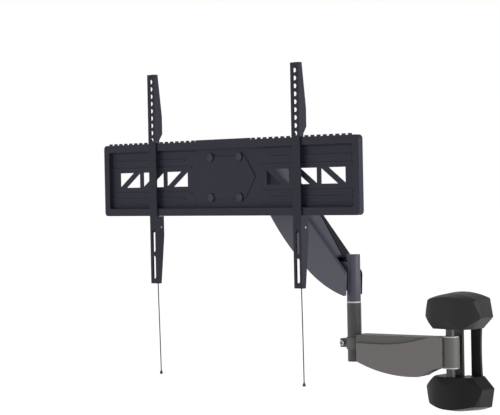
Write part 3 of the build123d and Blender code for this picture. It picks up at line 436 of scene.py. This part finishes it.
cover_abs = moulded("spark_grained_black_abs", "#1e1f1f", 0.55, shine=0.25)
# The lower wall cover is the same black ABS as the upper one, painted darker as painted shade: it
# is lit less from above than the upper cover.
shaded_lower_cover_abs = moulded("shade_darkened_black_abs", "#121212", 0.45, shine=0.15)
shell_abs = moulded("slate_abs_shell", "#42424f", 0.46, strength=0.10)
rear_shell_abs = moulded("slate_abs_back", "#1f1f27", 0.60, strength=0.10, shine=0.15)
knob_abs = moulded("knob_abs", "#131314", 0.35, strength=0.05)
cap_abs = moulded("cap_abs", "#1a1a1b", 0.45)
strip_abs = moulded("polished_black_abs", "#0d0d10", 0.12, strength=0.0, edge_mm=1.2)
nylon = moulded("natural_nylon", "#b9b9b6", 0.42, strength=0.04, edge_mm=0.3)
print("plastics made:", cover_abs.name, shell_abs.name, strip_abs.name)

# %% [markdown]
# ## Zinc, chrome and braid
# Screws, pins and nuts are zinc-plated steel: a metal with a soft, slightly blotchy sheen.
# The gas spring's rod is ground hard chrome, which is paler, smoother and finer in its
# blotches. A metal keeps the default IOR. The cords are braided polyester: two sets of
# yarns cross at an angle, which two wave textures in opposite directions give. On a cord
# this thin the yarns repeat about every millimetre, so they are drawn coarser to show.

# %% Metals and braid
YARN_SEEN_MM, YARN_DEPTH = 2.77, 0.25 * MM
YARN_TILT, YARN_TURN = 0.6, 0.8    # radians, the lay of the yarns
WAVE_PERIOD = 2 * pi / 20          # of a wave texture at a scale of one
DULL = 0.82                        # the darker blotches against the bright ones
PLATED_EDGE, DENT_DEPTH = 0.3 * MM, 0.2 * MM


def plated(name, colour, roughness, blotch_mm):
    """Plated steel with soft blotches of a given size."""
    material, tree, shader, place = new_material(name)
    blotch = add(tree, "ShaderNodeTexNoise",
                 {"Vector": place, "Scale": per_metre(blotch_mm), "Detail": 6.0})
    base = linear(colour)
    tint = mix_colours(tree, blotch.outputs["Fac"], shaded(base, DULL), base)
    tree.links.new(tint, shader.inputs["Base Color"])
    gloss = add(tree, "ShaderNodeMapRange",
                {"Value": blotch.outputs["Fac"], "To Min": roughness - 0.06,
                 "To Max": roughness + 0.1})
    tree.links.new(gloss.outputs["Result"], shader.inputs["Roughness"])
    soft = add(tree, "ShaderNodeBevel", {"Radius": PLATED_EDGE}, samples=4)
    dents = add(tree, "ShaderNodeBump",
                {"Height": blotch.outputs["Fac"], "Strength": 0.05, "Distance": DENT_DEPTH,
                 "Normal": soft.outputs["Normal"]})
    tree.links.new(dents.outputs["Normal"], shader.inputs["Normal"])
    shader.inputs["Metallic"].default_value = 1.0
    return material


def braid(name, dark, light):
    """Two sets of crossing yarns, with painted shade between them and a painted highlight on top.
    """
    material, tree, shader, place = new_material(name)
    waves = []
    for hand in (1, -1):
        lay = add(tree, "ShaderNodeMapping",
                  {"Vector": place, "Rotation": (hand * YARN_TILT, 0.0, hand * YARN_TURN)})
        waves.append(add(tree, "ShaderNodeTexWave",
                         {"Vector": lay.outputs["Vector"],
                          "Scale": per_metre(YARN_SEEN_MM) * WAVE_PERIOD},
                         bands_direction="Z"))
    yarn = add(tree, "ShaderNodeMath", {0: waves[0].outputs["Fac"], 1: waves[1].outputs["Fac"]},
               operation="MAXIMUM")
    # The dark colour between the yarns is painted shade and the light one on their tops a painted
    # highlight.
    tint = mix_colours(tree, yarn.outputs["Value"], linear(dark), linear(light))
    tree.links.new(tint, shader.inputs["Base Color"])
    bump = add(tree, "ShaderNodeBump", {"Height": yarn.outputs["Value"], "Strength": 0.6,
                                        "Distance": YARN_DEPTH})
    tree.links.new(bump.outputs["Normal"], shader.inputs["Normal"])
    shader.inputs["Roughness"].default_value = 0.75
    shader.inputs["Sheen Weight"].default_value = 0.3
    return material


zinc = plated("zinc_plate", "#a9abb0", 0.34, 9.0)
chrome = plated("ground_chrome", "#c9cbd0", 0.14, 3.0)
cord_braid = braid("braided_polyester", "#0b0b0c", "#1d1d1f")
print("metals and braid:", zinc.name, chrome.name, cord_braid.name)

# %% [markdown]
# ## Which piece has which finish
# Each CAD node keeps its own shape and gets its finish through its material slot. A list
# of finishes, each with its nodes' names, is the shortest way to say it, and the print at
# the end shows that none was left out.

# %% Finishes of the CAD nodes
finishes = [
    (plate_coat, "tv_plate tilt_bracket"),
    (rail_coat, "left_rail right_rail"),
    (black_oxide, "adapter_bolts"),
    (yoke_coat, "elbow_yoke upper_link lower_link head_yoke head_fork"),
    (post_coat, "elbow_post pivot_bracket shaft_spacers"),
    (bracket_coat, "wall_plate"),
    (casting_coat, "lower_arm_front_cover lower_arm_rear_cover"),
    (shaded_channel_coat, "lower_arm_beam"),
    (cover_abs, "upper_wall_cover lower_arm_cable_cover left_latch right_latch"),
    (shaded_lower_cover_abs, "lower_wall_cover"),
    (shell_abs, "lift_arm_front_shell"),
    (rear_shell_abs, "lift_arm_rear_shell"),
    (cap_abs, "post_cap"),
    (strip_abs, "lift_arm_cable_cover gas_cylinder"),
    (nylon, "post_ring knuckle_bushes yoke_bush head_bush"),
    (zinc, "bracket_screws wall_shaft shaft_nut clamp_screw clamp_nut yoke_pivot_pins "
           "spring_anchor_pin spring_end_pin head_pivot_pins head_swivel_pin tilt_bolt tilt_nut "
           "adapter_nuts left_guide_pin right_guide_pin"),
    (chrome, "gas_rod"),
    (cord_braid, "left_pull_cord right_pull_cord"),
    (knob_abs, "left_cord_knob right_cord_knob"),
]
finished = set()
for material, names in finishes:
    for name in names.split():
        node = nodes[name]
        node.data.materials.clear()
        node.data.materials.append(material)
        finished.add(name)
print("finished nodes:", len(finished), "left out:", sorted(set(nodes) - finished))

# %% Finishes of the added pieces
for side, (cord, _) in cords.items():
    cord.data.materials.append(cord_braid)
    knobs[side].data.materials.append(knob_abs)
cover_screw.data.materials.append(black_oxide)
print("added pieces finished:", 2 * len(cords) + 1)

# %% [markdown]
# ## Floor and light
# A wall mount hangs about a metre above the floor. The floor is a plain pale sheet that
# glows a little, as a lit studio sweep does. The light is soft: a big key light stands to
# the right, level with the mount and a little behind its plate, and picks out the facets
# on the right of the covers. Three weaker ones stand in front to the left, above and
# behind. The world shows white behind the mount but lights it more gently than it looks.

# %% Floor
FLOOR_DROP = 0.9
FLOOR_HALF = 60.0
FLOOR_GLOW = 0.66
SPECK_MM = 400
floor_mesh = bpy.data.meshes.new("studio_floor")
corners = [(-FLOOR_HALF, -FLOOR_HALF), (FLOOR_HALF, -FLOOR_HALF),
           (FLOOR_HALF, FLOOR_HALF), (-FLOOR_HALF, FLOOR_HALF)]
floor_mesh.from_pydata([(x, y, -FLOOR_DROP) for x, y in corners], [], [(0, 1, 2, 3)])
floor = new_piece("studio_floor", floor_mesh, smooth=False)
floor_paint, floor_tree, floor_shader, floor_place = new_material("pale_floor_paint")
speck = add(floor_tree, "ShaderNodeTexNoise", {"Vector": floor_place, "Scale": per_metre(SPECK_MM)})
floor_tree.links.new(
    mix_colours(floor_tree, speck.outputs["Fac"], linear("#f1f1f1"), linear("#f6f6f6")),
    floor_shader.inputs["Base Color"])
floor_shader.inputs["Roughness"].default_value = 0.9
floor_shader.inputs["Emission Color"].default_value = (1, 1, 1, 1)
floor_shader.inputs["Emission Strength"].default_value = FLOOR_GLOW
floor_mesh.materials.append(floor_paint)
print("floor is", FLOOR_DROP, "m below the wall plate's centre")

# %% Lights
target = Vector((-0.25, -0.12, 0.22))


def soft_light(name, place, width, watts):
    """A square area light that faces the mount."""
    data = bpy.data.lights.new(name, "AREA")
    data.energy = watts
    data.size = width
    light = bpy.data.objects.new(name, data)
    scene.collection.objects.link(light)
    light.location = place
    light.rotation_mode = "QUATERNION"
    light.rotation_quaternion = (target - Vector(place)).to_track_quat("-Z", "Y")
    return light


soft_light("key_light", (2.9, 0.8, 0.5), 1.6, 74)
soft_light("left_light", (-2.0, -2.8, 0.7), 2.2, 12)
soft_light("top_light", (-0.2, -1.2, 2.4), 1.4, 3)
soft_light("back_light", (-1.4, 2.2, 1.0), 1.8, 6)

# %% World
WORLD_LIGHT = 0.42
world = bpy.data.worlds.new("studio_world")
scene.world = world
world.use_nodes = True
sky = world.node_tree
sky.nodes.clear()
seen_white = add(sky, "ShaderNodeBackground", {"Color": (1, 1, 1, 1), "Strength": 1.0})
lit_white = add(sky, "ShaderNodeBackground", {"Color": (1, 1, 1, 1), "Strength": WORLD_LIGHT})
rays = add(sky, "ShaderNodeLightPath")
both = sky.nodes.new("ShaderNodeMixShader")
sky.links.new(rays.outputs["Is Camera Ray"], both.inputs[0])
sky.links.new(lit_white.outputs["Background"], both.inputs[1])
sky.links.new(seen_white.outputs["Background"], both.inputs[2])
add(sky, "ShaderNodeOutputWorld", {"Surface": both.outputs["Shader"]})
scene.view_settings.view_transform = "Standard"
print("the world lights at", WORLD_LIGHT, "and is seen at 1.0")

# %% [markdown]
# ## Update
# The visible model has to stay inside the CAD model's box.

# %% Update the scene
bpy.context.view_layer.update()
